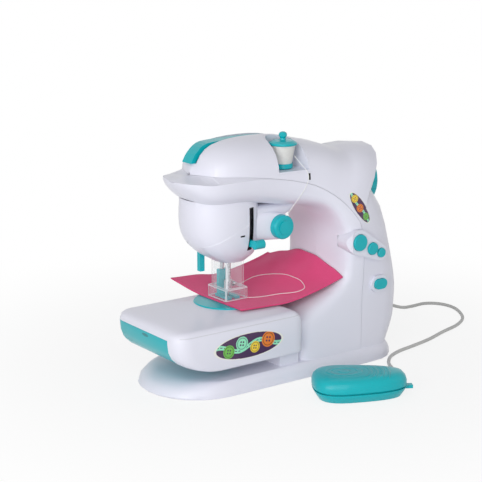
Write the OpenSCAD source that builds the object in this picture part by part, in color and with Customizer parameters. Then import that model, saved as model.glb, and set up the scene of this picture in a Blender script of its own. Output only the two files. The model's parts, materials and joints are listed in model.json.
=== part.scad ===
// Toy sewing machine with free-arm bed, hooded arm, needle drive, foot pedal and cloth.
// Millimetres. Origin: middle of the base on the table. +X to the column, -Y to the front, +Z up.

/* [Casing] */
// Wall thickness of the moulded shells
wall = 2.2; // [1.8:0.1:2.6]
// Gap along the parting lines between shells
part_gap = 0.2; // [0.1:0.05:0.3]
// Height of the arm's underside above the table
throat_top = 156; // [154:1:159]
// Inner wall of the column, from the middle of the base
throat_x = 74; // [72:1:76]
// Height of the hood's crest
crest_z = 224; // [222:1:230]

/* [Base and bed] */
// Reach of the base to the left of its middle
base_left = 123; // [116:1:130]
// Reach of the base to the right of its middle
base_right = 142; // [140:1:148]
// Depth of the base, front to back
base_d = 110; // [108:1:118]
// Height of the base pan
base_h = 14; // [13:0.5:15]
// Height of the slot under the free-arm bed
slot_h = 12; // [10:0.5:13]
// Thickness of the bed, underside to top
bed_h = 41; // [40:0.5:42]
// Reach of the bed's top edge to the left
bed_left = 125; // [120:1:128]
// Inward curve of the bed's left end at its underside
bed_rake = 34; // [24:1:38]
// Right end of the bed
bed_right = 16; // [14:1:18]
// Radius of the needle plate
plate_r = 32; // [24:1:33]

/* [Needle drive] */
// Needle position along the bed
needle_x = -22; // [-23:0.5:-21]
// Needle position across the bed
needle_y = 14; // [13:0.5:15]
// Crank radius, half the needle's stroke
crank_r = 10; // [8:0.5:10.5]
// Diameter of the needle bar
bar_d = 5; // [4:0.5:6]
// Diameter of the main and lower shafts
shaft_d = 6; // [4:0.5:7]
// Radius of the hand wheel
wheel_r = 27.5; // [25:0.5:28]
// Module of the drive gears
gear_m = 0.8; // [0.7:0.05:0.85]
// Radius of the belt pulleys
pulley_r = 10; // [8:0.5:12]

/* [Controls] */
// Radius of the tension dial
dial_r = 11.5; // [9:0.5:12]
// Radius of the large push button
large_r = 8; // [7.5:0.1:8.2]
// Radius of the medium push button
medium_r = 6; // [5.6:0.1:6.1]
// Radius of the small push button
small_r = 4.6; // [4.2:0.1:4.7]
// Travel of the push buttons
button_travel = 1.8; // [1:0.1:2.2]

/* [Spool] */
// Radius of the spool cap
cap_r = 13.5; // [12:0.5:14.5]
// Height of the thread wound on the spool
thread_h = 17; // [14:0.5:18]

/* [Pedal] */
// Length of the pedal
pedal_l = 86; // [80:1:92]
// Width of the pedal
pedal_w = 50; // [46:1:56]
// Height of the pedal
pedal_h = 23; // [22:0.5:26]
// Diameter of the pedal cord
cord_d = 3.4; // [3:0.1:4]

/* [Hidden] */
$fn = 48;

white = [0.93, 0.93, 0.95];
teal = [0.12, 0.68, 0.70];
steel = [0.72, 0.73, 0.75];
brass = [0.80, 0.66, 0.36];
dark = [0.15, 0.15, 0.17];
pink = [0.80, 0.25, 0.43];
grey = [0.78, 0.78, 0.77];
clear = [0.85, 0.92, 0.95, 0.4];

// Radial clearances: running shafts, sliding pieces and loose pieces
run_gap = 0.05;
slide_gap = 0.3;
seat_gap = 0.15;

// Heights that follow from the driving sizes
bed_z = base_h + slot_h;
bed_top = bed_z + bed_h;
plate_t = 1.2;
cloth_t = 1.2;
cloth_z = bed_top + plate_t + 0.1;
foot_z = cloth_z + cloth_t + slide_gap;
head_top = throat_top + 7.4;
head_bot = throat_top - 48.5;
shaft_z = throat_top + 14;
shaft_y = 6;
low_z = bed_z + 18;
foot_x = bed_right + 0.3;
bar_r = bar_d / 2;
shaft_r = shaft_d / 2;
stroke = 2 * crank_r;

// General curves

function lerp(a, b, t) = a + (b - a) * t;
function centre(pts) = [for (k = [0:2]) lerp(min([for (p = pts) p[k]]), max([for (p = pts) p[k]]), 0.5)];
function turned(pts) = [for (i = [len(pts) - 1:-1:0]) pts[i]];
function power(v, e) = sign(v) * pow(abs(v), e);

// Point between p1 and p2 on the smooth curve through p0 .. p3
function curve_pt(p0, p1, p2, p3, t) =
  0.5 * (2 * p1 + (p2 - p0) * t + (2 * p0 - 5 * p1 + 4 * p2 - p3) * t * t
    + (3 * p1 - p0 - 3 * p2 + p3) * t * t * t);

// Smooth curve through rows of numbers, with steps stretches between neighbours
function smooth(rows, steps) = let (n = len(rows) - 1) concat(
  [for (i = [0:n - 1]) for (j = [0:steps - 1])
    curve_pt(rows[max(i - 1, 0)], rows[i], rows[i + 1], rows[min(i + 2, n)], j / steps)],
  [rows[n]]);

// Closed skin through rings of equal point counts. ends: "fan" closes each end to its middle,
// "strip" closes a folded wall, "loop" joins the last ring to the first.
module skin(rings, ends = "fan", flip = false) {
  n = len(rings[0]);
  m = len(rings);
  o = (m - 1) * n;
  pts = concat([for (r = rings) each r], ends == "fan" ? [centre(rings[0]), centre(rings[m - 1])] : []);
  sides = [for (j = [0:ends == "loop" ? m - 1 : m - 2]) for (i = [0:n - 1])
    let (e = ((j + 1) % m) * n, k = (i + 1) % n, a = j * n + i, b = j * n + k, c = e + k, d = e + i)
    each [[a, b, c], [a, c, d]]];
  lids = ends == "fan"
    ? [for (i = [0:n - 1]) each [[m * n, (i + 1) % n, i], [m * n + 1, o + i, o + (i + 1) % n]]]
    : ends == "strip"
    ? [for (i = [0:n / 2 - 2]) each [[i + 1, i, n - 1 - i], [i + 1, n - 1 - i, n - 2 - i],
        [o + i, o + i + 1, o + n - 2 - i], [o + i, o + n - 2 - i, o + n - 1 - i]]]
    : [];
  faces = concat(sides, lids);
  polyhedron(pts, flip ? [for (f = faces) turned(f)] : faces, convexity = 10);
}

// Cylinder along X or Y, from a to b
module rod_x(x0, x1, r, y, z) {
  translate([x0, y, z]) rotate([0, 90, 0]) cylinder(h = x1 - x0, r = r);
}
module rod_y(y0, y1, r, x, z) {
  translate([x, y1, z]) rotate([90, 0, 0]) cylinder(h = y1 - y0, r = r);
}
module box(x0, x1, y0, y1, z0, z1) {
  translate([x0, y0, z0]) cube([x1 - x0, y1 - y0, z1 - z0]);
}
// Rectangle with rounded corners, by its limits
module round_rect(x0, x1, y0, y1, r) {
  translate([x0 + r, y0]) square([x1 - x0 - 2 * r, y1 - y0]);
  translate([x0, y0 + r]) square([x1 - x0, y1 - y0 - 2 * r]);
  for (x = [x0 + r, x1 - r], y = [y0 + r, y1 - r]) translate([x, y]) circle(r);
}

// Body of the machine: sections across the arm, round the corner and down the column.
// Each row: parting line x, z; outer crest x, z; inner wall x, z; middle y; half depth of the hood;
// half depth of the casing; drop of the casing's brim; roundness of the hood and of the casing;
// thickness of the hood along the section, in walls.
tt = throat_top;
tx = throat_x;
cz = crest_z;
body_rows = [
  [-84, tt + 33, -84, tt + 34, -84, tt + 31, 13, 0, 5, 0.6, 2.2, 2.2, 1],
  [-81, tt + 34, -81, tt + 36.5, -81, tt + 26, 13, 0, 20, 1, 2.2, 2.3, 1],
  [-75, tt + 35.5, -75, tt + 38.5, -75, tt + 19, 13, 0, 29, 2.5, 2.2, 2.4, 1],
  [-66, tt + 37, -66, tt + 40, -66, tt + 12, 13, 1, 35, 5, 2.2, 2.5, 1],
  [-57, tt + 37.5, -57, cz - 13, -57, tt + 9, 13, 25, 38.5, 5, 2.2, 2.7, 1],
  [-45, tt + 37, -45, cz - 4.5, -45, tt + 8, 13, 34, 40.5, 4, 2.2, 2.8, 1],
  [-25, tt + 35.5, -25, cz - 0.5, -25, tt + 8, 13, 39, 41.5, 2, 2.3, 3, 1],
  [0, tt + 32, 0, cz + 0.5, 0, tt + 5, 13, 41.3, 42, 0.6, 2.3, 3, 1],
  [22, tt + 28, 24, cz - 1, 22, tt + 1, 12, 42.5, 43, 0.6, 2.4, 3, 1],
  [42, tt + 22.5, 48, cz - 6.5, 42, tt - 0.5, 11, 44.5, 45, 0.6, 2.5, 3.2, 1],
  [58, tt + 14.5, 70, cz - 12, tx - 16, tt - 4.5, 9, 46, 46.5, 0.6, 2.6, 3.5, 1],
  [71, tt + 5, 93, cz - 19.5, tx - 7, tt - 12, 7, 47, 47.5, 0.6, 2.7, 4, 1],
  [81, tt - 5, 103.5, cz - 19, tx - 2, tt - 21, 5, 47.5, 48, 0.6, 3.2, 4.4, 2],
  [87, tt - 12.5, 132.5, cz - 18.5, tx, tt - 29, 4, 48, 48.5, 0.6, 2.4, 4.8, 4],
  [90.3, tt - 19, 125, cz - 33.5, tx + 0.5, tt - 37, 3, 48.5, 49, 0.6, 1.7, 5, 5],
  [93.4, tt - 31, 120, tt + 17.5, tx + 0.5, tt - 45, 3, 48.5, 49, 0.6, 2.5, 5, 4],
  [95.3, 108, 134, 150.5, tx + 0.5, 103, 3, 48.5, 49, 0.6, 2.9, 5, 2],
  [95.3, 94, 141, 120, tx, 94, 3, 48.5, 49, 0.6, 3.5, 5, 1],
  [94.5, 80, 147, 94, tx - 3, 84, 3, 48.5, 49, 0.6, 3.8, 5, 1],
  [93, 66, 150.5, 70, tx - 18, 72.5, 2.5, 48.8, 49.3, 0.6, 4, 5.5, 1],
  [92, 52, 149, 48, bed_right + 18, 62, 2, 49, 49.5, 0.6, 4, 6, 1],
  [91.5, 42, 147.5, 38, foot_x + 2, 50, 1.5, 49.2, 49.7, 0.6, 4, 8, 1],
  [91, 30, 143, 28, foot_x, 34, 1, 49.4, 49.9, 0.6, 4, 8, 1],
  [90, base_h, base_right - 7, base_h, foot_x, base_h, 0, 49.5, 50, 0.6, 4, 8, 1]];
body_steps = 2;
hood_first = 3;
hood_arcs = 12;
case_arcs = 7;
sections = smooth(body_rows, body_steps);

// Point of a section r, u along its direction k (2 outwards, 4 inwards) and v across the machine
function sec_pt(r, k, u, v) = let (s = [r[k] - r[0], r[k + 1] - r[1]], d = s / norm(s))
  [r[0] + d[0] * u, r[6] + v, r[1] + d[1] * u];
function reach(r, k) = norm([r[k] - r[0], r[k + 1] - r[1]]);

// Superellipse arch of the hood over section r, set in by inset
function hood_curve(r, inset) = let (
    w = min(inset, 0.45 * reach(r, 2), 0.45 * r[7]), h = reach(r, 2) - w * r[12], b = r[7] - w)
  [for (i = [0:hood_arcs]) let (f = 180 * i / hood_arcs)
    sec_pt(r, 2, part_gap + (h - part_gap) * power(sin(f), 2 / r[10]), -b * power(cos(f), 2 / r[10]))];

// Half section of the casing on one side: brim edge, then a superellipse quarter to the inner wall
function case_curve(r, side, inset) = let (
    w = min(inset, 0.45 * reach(r, 4), 0.45 * r[8]), h = reach(r, 4) - w, b = r[8] - w,
    mid = part_gap / 2, tip = 1 - min(1, r[7] / 8))
  concat([sec_pt(r, 4, w * tip, side * max(r[7] - w, mid))],
    [for (i = [0:case_arcs]) let (f = 90 * i / case_arcs)
      sec_pt(r, 4, r[9] + (h - r[9]) * power(sin(f), 2 / r[11]),
        side * max(b * power(cos(f), 2 / r[11]), mid))]);

hood_sections = [for (i = [hood_first * body_steps:len(sections) - 1]) sections[i]];

module hood_walls() {
  skin([for (r = hood_sections) concat(hood_curve(r, 0), turned(hood_curve(r, wall)))], "strip");
}
// The arm's part of the hood as a solid, to trim the wells that are moulded into it
module hood_solid() {
  skin([for (i = [0:9 * body_steps]) hood_curve(hood_sections[i], 0.02)]);
}
module casing_walls(side) {
  skin([for (r = sections) concat(case_curve(r, side, 0), turned(case_curve(r, side, wall)))], "strip",
    flip = side < 0);
}

// Spool well and handle channel in the hood
spool_x = 22;
spool_y = -12;
spool_z = throat_top + 37;
well_r = 16.5;
chan_y = 19;
chan_w = 21;
chan_z = crest_z - 21;
chan_x0 = -90;
chan_x1 = 60;
well_wall = 1.8;

module well_space(grow) {
  translate([spool_x, spool_y, spool_z - grow]) cylinder(h = 60, r = well_r + grow);
  box(spool_x - well_r - grow, spool_x + well_r + grow, spool_y - 60, spool_y,
    spool_z - grow, spool_z + 60);
}
module channel_space(grow) {
  box(chan_x0, chan_x1 + grow, chan_y - chan_w / 2 - grow, chan_y + chan_w / 2 + grow,
    chan_z - grow, chan_z + 60);
}

// Hand wheel on the main shaft, outside the hood's waist and under its ear
wheel_x = 119;
wheel_t = 14;
wheel_gap = 1.4;
wheel_back = 6;
module wheel_pocket() {
  rod_x(wheel_x - wheel_back, wheel_x + 60, wheel_r + wheel_gap, shaft_y, shaft_z);
}

// Button pod and switch bezel, set in windows of the column's front
button_r = [large_r, medium_r, small_r];
button_x = [86, 102, 113];
button_z = [120, 112, 106.5];
pod_back = -42.5;
pod_front = -49.8;
pod_wide = 4.2;
pod_narrow = 3;
pod_tip = button_x[0] - 8.8;
switch_x = 114;
switch_z = 75;
switch_l = 15;
switch_w = 10;
bezel_edge = 3;
bezel_front = -48.6;

// Teardrop round the first and last button, grown by grow
module pod_outline(grow) {
  r0 = button_r[0] + pod_wide + grow;
  r2 = button_r[2] + pod_narrow + grow;
  d = [button_x[2] - button_x[0], button_z[2] - button_z[0]];
  a = atan2(d[1], d[0]);
  lean = acos((r0 - r2) / norm(d));
  translate([button_x[0], button_z[0]]) circle(r0);
  translate([button_x[2], button_z[2]]) circle(r2);
  polygon([for (s = [-1, 1], k = s < 0 ? [0, 2] : [2, 0])
    let (r = k == 0 ? r0 : r2)
    [button_x[k] + r * cos(a + s * lean), button_z[k] + r * sin(a + s * lean)]]);
}
module stadium(l, w) {
  square([l - w, w], center = true);
  for (s = [-1, 1]) translate([s * (l - w) / 2, 0]) circle(w / 2);
}
// Outline drawn in x and z, from y0 to y1
module front_plate(y0, y1) {
  translate([0, y1, 0]) rotate([90, 0, 0]) linear_extrude(y1 - y0) children();
}
module switch_outline(grow) {
  translate([switch_x, switch_z]) stadium(switch_l + 2 * grow, switch_w + 2 * grow);
}
module control_windows() {
  front_plate(-70, -30) pod_outline(seat_gap);
  front_plate(-70, -30) switch_outline(bezel_edge + seat_gap);
}

// Opening in the arm's underside for the head's rim
module head_opening() {
  translate([0, 0, throat_top - 6]) linear_extrude(24)
    polygon([for (p = head_ring(head_rows[0], -seat_gap, 0)) [p[0], p[1]]]);
}

gland_y = 26;
gland_z = 28;
gland_r = 4.5;
gland_x = 134;

module front_casing() {
  color(white) difference() {
    casing_walls(-1);
    control_windows();
    head_opening();
    rod_x(0, 40, shaft_r + 4, shaft_y, low_z);
  }
}
module rear_casing() {
  color(white) difference() {
    casing_walls(1);
    head_opening();
    rod_x(0, 40, shaft_r + 4, shaft_y, low_z);
  }
}
module top_hood() {
  color(white) difference() {
    hood_walls();
    well_space(well_wall + 0.1);
    channel_space(well_wall + 0.1);
    wheel_pocket();
    control_windows();
    rod_x(gland_x, gland_x + 25, gland_r, gland_y, gland_z);
  }
}
module hood_well() {
  color(white) intersection() {
    hood_solid();
    difference() {
      union() {
        well_space(well_wall);
        channel_space(well_wall);
      }
      well_space(0);
      channel_space(0);
    }
  }
}

// Carry handle: a bridge along the channel
handle_w = 14;
handle_t = 5;
handle_path = smooth([[-66, -2], [-60, 8], [-50, 16], [-36, 18], [-10, 18.5], [15, 18], [36, 15.5], [50, 10],
  [55, 0]], 3);
// Path set aside by d, to its left
function beside(pts, d) = [for (i = [0:len(pts) - 1]) let (
    t = pts[min(i + 1, len(pts) - 1)] - pts[max(i - 1, 0)], n = [-t[1], t[0]] / norm(t)) pts[i] + n * d];
module carry_handle() {
  color(teal) intersection() {
    translate([0, chan_y + handle_w / 2, chan_z]) rotate([90, 0, 0]) linear_extrude(handle_w)
      polygon(concat(handle_path, turned(beside(handle_path, -handle_t))));
    box(-100, 100, -100, 100, chan_z, chan_z + 40);
  }
}

// Base pan: half circle to the left, rounded rectangle to the right
base_arc = 12;
base_lean = 2.2;
function base_ring(inset, z) = let (
    b = base_d / 2 - 0.5 * inset,
    al = base_left - 68 - base_lean * inset,
    ar = base_right - 95 - 0.5 * inset)
  concat(
    [for (i = [0:base_arc]) let (f = 90 - 180 * i / base_arc)
      [95 + ar * power(cos(f), 2 / 3), b * power(sin(f), 2 / 3), z]],
    [for (i = [0:base_arc]) let (f = 270 - 180 * i / base_arc) [-68 + al * cos(f), b * sin(f), z]]);
base_profile = [[0.8, 0], [0, 1.5], [1, 0.45 * base_h], [3.5, 0.72 * base_h], [6.5, 0.9 * base_h],
  [10, base_h]];
// Height of the pan's inner face under height z of its outer face
function pan_inner(z) = z == base_h ? base_h - wall : min(z, base_h - wall - (base_h - z) / 4);
plate_inset = 2 * wall + 1.2;
door_x = [26, 82];
door_y = [-41, -9];
boss_pts = [[-60, -38], [-60, 38], [0, -40], [0, 40], [100, 38]];
boss_r = 3.5;
screw_r = 1.4;
plinth_x = -6;

module battery_space(grow) {
  box(door_x[0] - grow, door_x[1] + grow, door_y[0] - grow, door_y[1] + grow, -1, base_h + 8 + grow);
}
module base_pan() {
  color(white) difference() {
    union() {
      skin(concat(
        [for (p = turned(base_profile)) base_ring(p[0] + 2 * wall, pan_inner(p[1]))],
        [for (p = base_profile) base_ring(p[0], p[1])]));
      box(plinth_x, bed_right, -46, 46, base_h - 1, bed_z);
      for (p = boss_pts) translate([p[0], p[1], wall]) cylinder(h = base_h - wall - 1, r = boss_r);
    }
    battery_space(1.8);
    for (p = boss_pts) translate([p[0], p[1], wall - 0.1]) cylinder(h = 7, r = screw_r);
  }
}
module bottom_plate() {
  color(white) difference() {
    linear_extrude(wall) polygon([for (p = base_ring(plate_inset, 0)) [p[0], p[1]]]);
    box(door_x[0], door_x[1], door_y[0], door_y[1], -1, wall + 1);
    for (p = boss_pts) translate([p[0], p[1], -0.1]) {
      cylinder(h = 5, r = screw_r + 0.2);
      cylinder(h = 1.3, r = 3);
    }
  }
}
module bottom_screws() {
  color(steel) for (p = boss_pts) translate([p[0], p[1], 0.2]) {
    cylinder(h = 1, r = 2.7);
    cylinder(h = 8, r = screw_r);
  }
}
box_wall = 1.6;
module battery_box() {
  color(dark) difference() {
    box(door_x[0] - box_wall, door_x[1] + box_wall, door_y[0] - box_wall, door_y[1] + box_wall,
      wall, base_h + 8);
    box(door_x[0], door_x[1], door_y[0], door_y[1], 0, base_h + 8 - box_wall);
  }
}
cell_r = 7.2;
module batteries() {
  color(steel) for (k = [-1, 1]) {
    y = (door_y[0] + door_y[1]) / 2 + k * (cell_r + 0.4);
    rod_x(door_x[0] + 2, door_x[1] - 3.5, cell_r, y, wall + cell_r + 0.4);
    rod_x(door_x[1] - 3.5, door_x[1] - 2, 2.7, y, wall + cell_r + 0.4);
  }
}
module battery_door() {
  color(white) difference() {
    box(door_x[0] + slide_gap, door_x[1] - slide_gap, door_y[0] + slide_gap, door_y[1] - slide_gap,
      0, wall);
    translate([door_x[1] - 5, (door_y[0] + door_y[1]) / 2, -0.1]) cylinder(h = 5, r = 2.7);
  }
}
module door_screw() {
  color(steel) translate([door_x[1] - 5, (door_y[0] + door_y[1]) / 2, 0.3]) {
    cylinder(h = wall - 0.5, r = 2.7);
  }
}

// Free-arm bed: a box section with rounded ends, its left end curving in towards the underside
bed_front = -55;
bed_rear = 52;
bed_round = 7;
bed_under = 3;
bed_corner = 4;
bed_flats = 4;
bed_curve = 4.5;
function bed_arc(y, z, r, f0) = [for (i = [0:bed_corner]) let (f = f0 - 90 * i / bed_corner)
  [y + r * cos(f), z + r * sin(f)]];
// Section with rounded corners, up the front and down the rear. lean is the inward curve at the underside.
function bed_ring(x, lean, inset, side, drop) = let (
    y0 = bed_front + inset + side, y1 = bed_rear - inset - side,
    z0 = bed_z + inset, z1 = bed_top - inset - drop,
    rt = bed_round - inset / 2, rb = bed_under - inset / 2,
    side_z = [for (k = [1:bed_flats]) lerp(z0 + rb, z1 - rt, pow(k / (bed_flats + 1), 1.5))])
  [for (p = concat(
      bed_arc(y0 + rb, z0 + rb, rb, 270), [for (z = side_z) [y0, z]], bed_arc(y0 + rt, z1 - rt, rt, 180),
      bed_arc(y1 - rt, z1 - rt, rt, 90), [for (z = turned(side_z)) [y1, z]],
      bed_arc(y1 - rb, z0 + rb, rb, 0)))
    [x + lean * pow(max(0, (bed_top - p[1]) / bed_h), bed_curve), p[0], p[1]]];
// Distance from the end, inset of the sides, drop of the top
left_end = [[0, 12, 5], [1.5, 7, 2.4], [5, 3, 0.8], [10, 0.8, 0.1], [16, 0, 0]];
right_end = [[12, 0, 0], [7, 0.3, 1.2], [3.5, 1.2, 3.5], [1.2, 3, 7], [0, 6, 12]];
module bed_solid(inset) {
  skin(concat(
    [for (p = left_end) bed_ring(p[0] + inset - bed_left, bed_rake, inset, p[1], p[2])],
    [for (p = right_end) bed_ring(bed_right - inset - p[0], 0, inset, p[1], p[2])]), "strip");
}

// Accessory drawer in the bed's left end, its face flush with the bed's
drawer_y = [-38, 46];
drawer_top = bed_top - 8;
drawer_in = -46;
drawer_wall = 1.6;
lip_w = 3;
lip_l = 10;
lip_t = 2;
ledge_t = 2;
module drawer_bay(grow) {
  box(-bed_left - 20, drawer_in, drawer_y[0] - grow, drawer_y[1] + grow, bed_z - 1, drawer_top + grow);
}
module drawer_ledges() {
  z = drawer_top - lip_t - slide_gap;
  box(-90, drawer_in, bed_front + 1, drawer_y[0], z - ledge_t, z);
  box(-90, drawer_in, drawer_y[1], bed_rear - 1, z - ledge_t, z);
}
module bed_shell() {
  color(white) difference() {
    union() {
      difference() {
        bed_solid(0);
        bed_solid(wall);
      }
      drawer_ledges();
    }
    intersection() {
      drawer_bay(0);
      box(-bed_left - 20, -80, bed_front, bed_rear, 0, bed_top);
    }
    box(-81, drawer_in, drawer_y[0], drawer_y[1], bed_z - 1, bed_z + wall + 1);
    translate([needle_x, needle_y, bed_top - 10]) cylinder(h = 20, r = 5);
    rod_x(0, 40, shaft_r + 2.5, shaft_y, low_z);
  }
}
module accessory_drawer() {
  y0 = drawer_y[0] + slide_gap;
  y1 = drawer_y[1] - slide_gap;
  z1 = drawer_top - slide_gap;
  x1 = drawer_in - slide_gap;
  color(teal) {
    difference() {
      intersection() {
        bed_solid(0.2);
        box(-bed_left - 1, x1, y0, y1, bed_z - 1, z1);
      }
      intersection() {
        bed_solid(wall + 0.2);
        box(-bed_left, x1 - drawer_wall, y0 + drawer_wall, y1 - drawer_wall, bed_z, z1 + 5);
      }
    }
    box(x1 - lip_l, x1, y0 - lip_w, y0, z1 - lip_t, z1);
    box(x1 - lip_l, x1, y1, y1 + lip_w, z1 - lip_t, z1);
  }
}
module needle_plate() {
  color(teal) difference() {
    translate([needle_x - 2, needle_y - 1, bed_top]) cylinder(h = plate_t, r1 = plate_r, r2 = plate_r - 1);
    translate([needle_x, needle_y, bed_top - 1]) cylinder(h = 5, r = 1.8);
  }
}

// Head: horizontal superellipses, z below the head's top
head_rim = 6;
head_rows = [[-33, 14, 36, 31, -head_rim], [-33, 14, 36, 31, 0], [-33, 14, 36.5, 31.5, 13],
  [-32, 14, 35.5, 31, 27], [-28.5, 14, 32, 28.5, 39], [-24.5, 14, 25, 23.5, 48.5], [-22.5, 14, 18, 18, 53.5],
  [-22, 14, 14.5, 15.5, 55.9]];
head_n = 2.5;
head_arcs = 24;
head_sections = smooth(head_rows, 2);
function head_ring(r, inset, lift) = [for (i = [0:head_arcs - 1]) let (f = 360 * i / head_arcs)
  [r[0] + (r[2] - inset) * power(cos(f), 2 / head_n), r[1] + (r[3] - inset) * power(sin(f), 2 / head_n),
    head_top - r[4] + lift]];
slot_x = -16;
slot_w = 4.4;
nub_z = throat_top - 29;
bush_r = bar_r + 2;
presser_y = needle_y + 10;
presser_r = 2;
lift_y = needle_y + 14;
lift_z = throat_top - 29;
lift_r = 2.4;
lever_x = [-46, -41];

module head_solid(grow) {
  skin([for (r = head_sections) head_ring(r, -grow, 0)]);
}
module head_shell() {
  color(white) difference() {
    union() {
      skin(concat([for (r = turned(head_sections)) head_ring(r, wall, (r[4] > 50 ? wall : 0))],
        [for (r = head_sections) head_ring(r, 0, 0)]));
      translate([needle_x, needle_y, head_bot + 0.5]) cylinder(h = 13, r = bush_r + 3);
      translate([needle_x, presser_y, head_bot + 0.5]) cylinder(h = 13, r = presser_r + 2.4);
      box(-38, -32, lift_y - 6, 41, lift_z - 4.5, lift_z + 4.5);
    }
    translate([needle_x, needle_y, head_bot - 1]) cylinder(h = 30, r = bush_r);
    translate([needle_x, presser_y, head_bot - 1]) cylinder(h = 30, r = presser_r + run_gap);
    box(slot_x - slot_w / 2, slot_x + slot_w / 2, -40, 0, nub_z - 5.5, nub_z + stroke + 13);
    rod_x(-60, -25, lift_r + run_gap, lift_y, lift_z);
    box(lever_x[0] - 1, lever_x[1] + 1, lift_y - 4, 60, head_bot - 4, lift_z + 2);
    rod_y(-40, 0, 0.8, -27, throat_top - 20.5);
    rod_x(-10, 20, shaft_r + 1.5, shaft_y, shaft_z);
  }
}

// Tension pod and dial
dial_x = 17;
dial_z = throat_top - 17;
pod_face = -15;
dial_t = 9;
dial_pin = 3;
module round_disc(r, t, edge) {
  rotate_extrude() {
    square([r - edge, t]);
    translate([0, edge]) square([r, t - 2 * edge]);
    translate([r - edge, edge]) circle(edge);
    translate([r - edge, t - edge]) circle(edge);
  }
}
module tension_pod() {
  color(white) difference() {
    hull() {
      translate([dial_x, pod_face, dial_z]) rotate([-90, 0, 0]) round_disc(dial_r + 1.2, 20, 1.5, $fn = 24);
      translate([-8, pod_face + 6, dial_z + 2]) rotate([-90, 0, 0]) round_disc(dial_r + 3, 20, 5, $fn = 24);
    }
    head_solid(0.1);
    rod_y(pod_face - 1, pod_face + 12, dial_pin + run_gap, dial_x, dial_z);
  }
}
module tension_dial() {
  color(teal) translate([dial_x, pod_face - slide_gap, dial_z]) rotate([90, 0, 0]) {
    rotate_extrude() {
      square([dial_r - 2, dial_t - 1.6]);
      square([dial_r, dial_t - 4]);
      translate([dial_r - 2.4, dial_t - 4]) circle(2.4);
      square([dial_r - 5, dial_t - 0.6]);
    }
    translate([0, 0, -11]) cylinder(h = 12, r = dial_pin);
  }
}

// Needle guard of clear plastic: upper box and wider foot, open below
guard_t = 1.2;
guard_x = [needle_x - 10.5, needle_x + 10.5];
guard_y = [needle_y - 12, needle_y + 13.5];
guard_flare = 2.5;
guard_foot = 11;
guard_z = foot_z + 0.5;
module guard_box(z0, z1, grow) {
  translate([0, 0, z0]) linear_extrude(z1 - z0)
    round_rect(guard_x[0] - grow, guard_x[1] + grow, guard_y[0] - grow, guard_y[1] + grow, 2);
}
module needle_guard() {
  color(clear) difference() {
    union() {
      guard_box(guard_z, head_bot, 0);
      guard_box(guard_z, guard_z + guard_foot, guard_flare);
    }
    guard_box(guard_z - 1, head_bot + 1, -guard_t);
    guard_box(guard_z - 1, guard_z + guard_foot - guard_t, guard_flare - guard_t);
  }
}

// Needle bar and what rides on it, drawn at its lowest place
clamp_z = foot_z + 8.7;
clamp_h = 8.5;
bar_top = shaft_z - 2;
module bar_rod(z0, z1, r) {
  translate([needle_x, needle_y, z0]) cylinder(h = z1 - z0, r = r);
}
module needle_bushes() {
  color(brass) for (z = [head_bot, head_bot + 9]) difference() {
    bar_rod(z, z + 4.5, bush_r);
    bar_rod(z - 1, z + 6, bar_r + run_gap);
  }
}
module needle_bar() {
  color(steel) bar_rod(clamp_z + clamp_h, bar_top, bar_r);
}
module needle_clamp() {
  color(steel) difference() {
    bar_rod(clamp_z, clamp_z + clamp_h, 4);
    rod_x(needle_x, needle_x + 8, 1.3, needle_y, clamp_z + 4);
  }
}
module clamp_screw() {
  color(steel) {
    rod_x(needle_x, needle_x + 4.5, 1.3, needle_y, clamp_z + 4);
    rod_x(needle_x + 4.5, needle_x + 7, 2.4, needle_y, clamp_z + 4);
  }
}
module needle() {
  color(steel) {
    bar_rod(bed_top - 3, clamp_z, 0.6);
    translate([needle_x, needle_y, bed_top - 7]) cylinder(h = 4, r1 = 0.1, r2 = 0.6);
  }
}
pin_r = 2.5;
yoke_h = 12;
yoke_z = shaft_z - crank_r;
yoke_face = needle_x + 7;
module needle_yoke() {
  color(white) difference() {
    box(needle_x - 5, yoke_face, shaft_y - crank_r - 5, shaft_y + crank_r + 5,
      yoke_z - yoke_h / 2, yoke_z + yoke_h / 2);
    box(yoke_face - 3, yoke_face + 1, shaft_y - crank_r - 3, shaft_y + crank_r + 3,
      yoke_z - pin_r - slide_gap, yoke_z + pin_r + slide_gap);
    bar_rod(yoke_z - 20, yoke_z + 20, bar_r);
  }
}
nub_y = -22;
nub_r = 4.3;
module take_up_lever() {
  color(teal) difference() {
    union() {
      bar_rod(nub_z - 4, nub_z + 4, bar_r + 1.7);
      box(slot_x - 1.6, slot_x + 1.6, nub_y, needle_y - 1, nub_z - 3, nub_z + 3);
      box(needle_x, slot_x + 1.6, needle_y - 4, needle_y - 1, nub_z - 3, nub_z + 3);
      rod_x(slot_x - 2, slot_x + 8, nub_r, nub_y, nub_z);
    }
    bar_rod(nub_z - 10, nub_z + 10, bar_r);
    translate([slot_x + 5, nub_y, nub_z - 10]) cylinder(h = 20, r = 1);
  }
}

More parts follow.
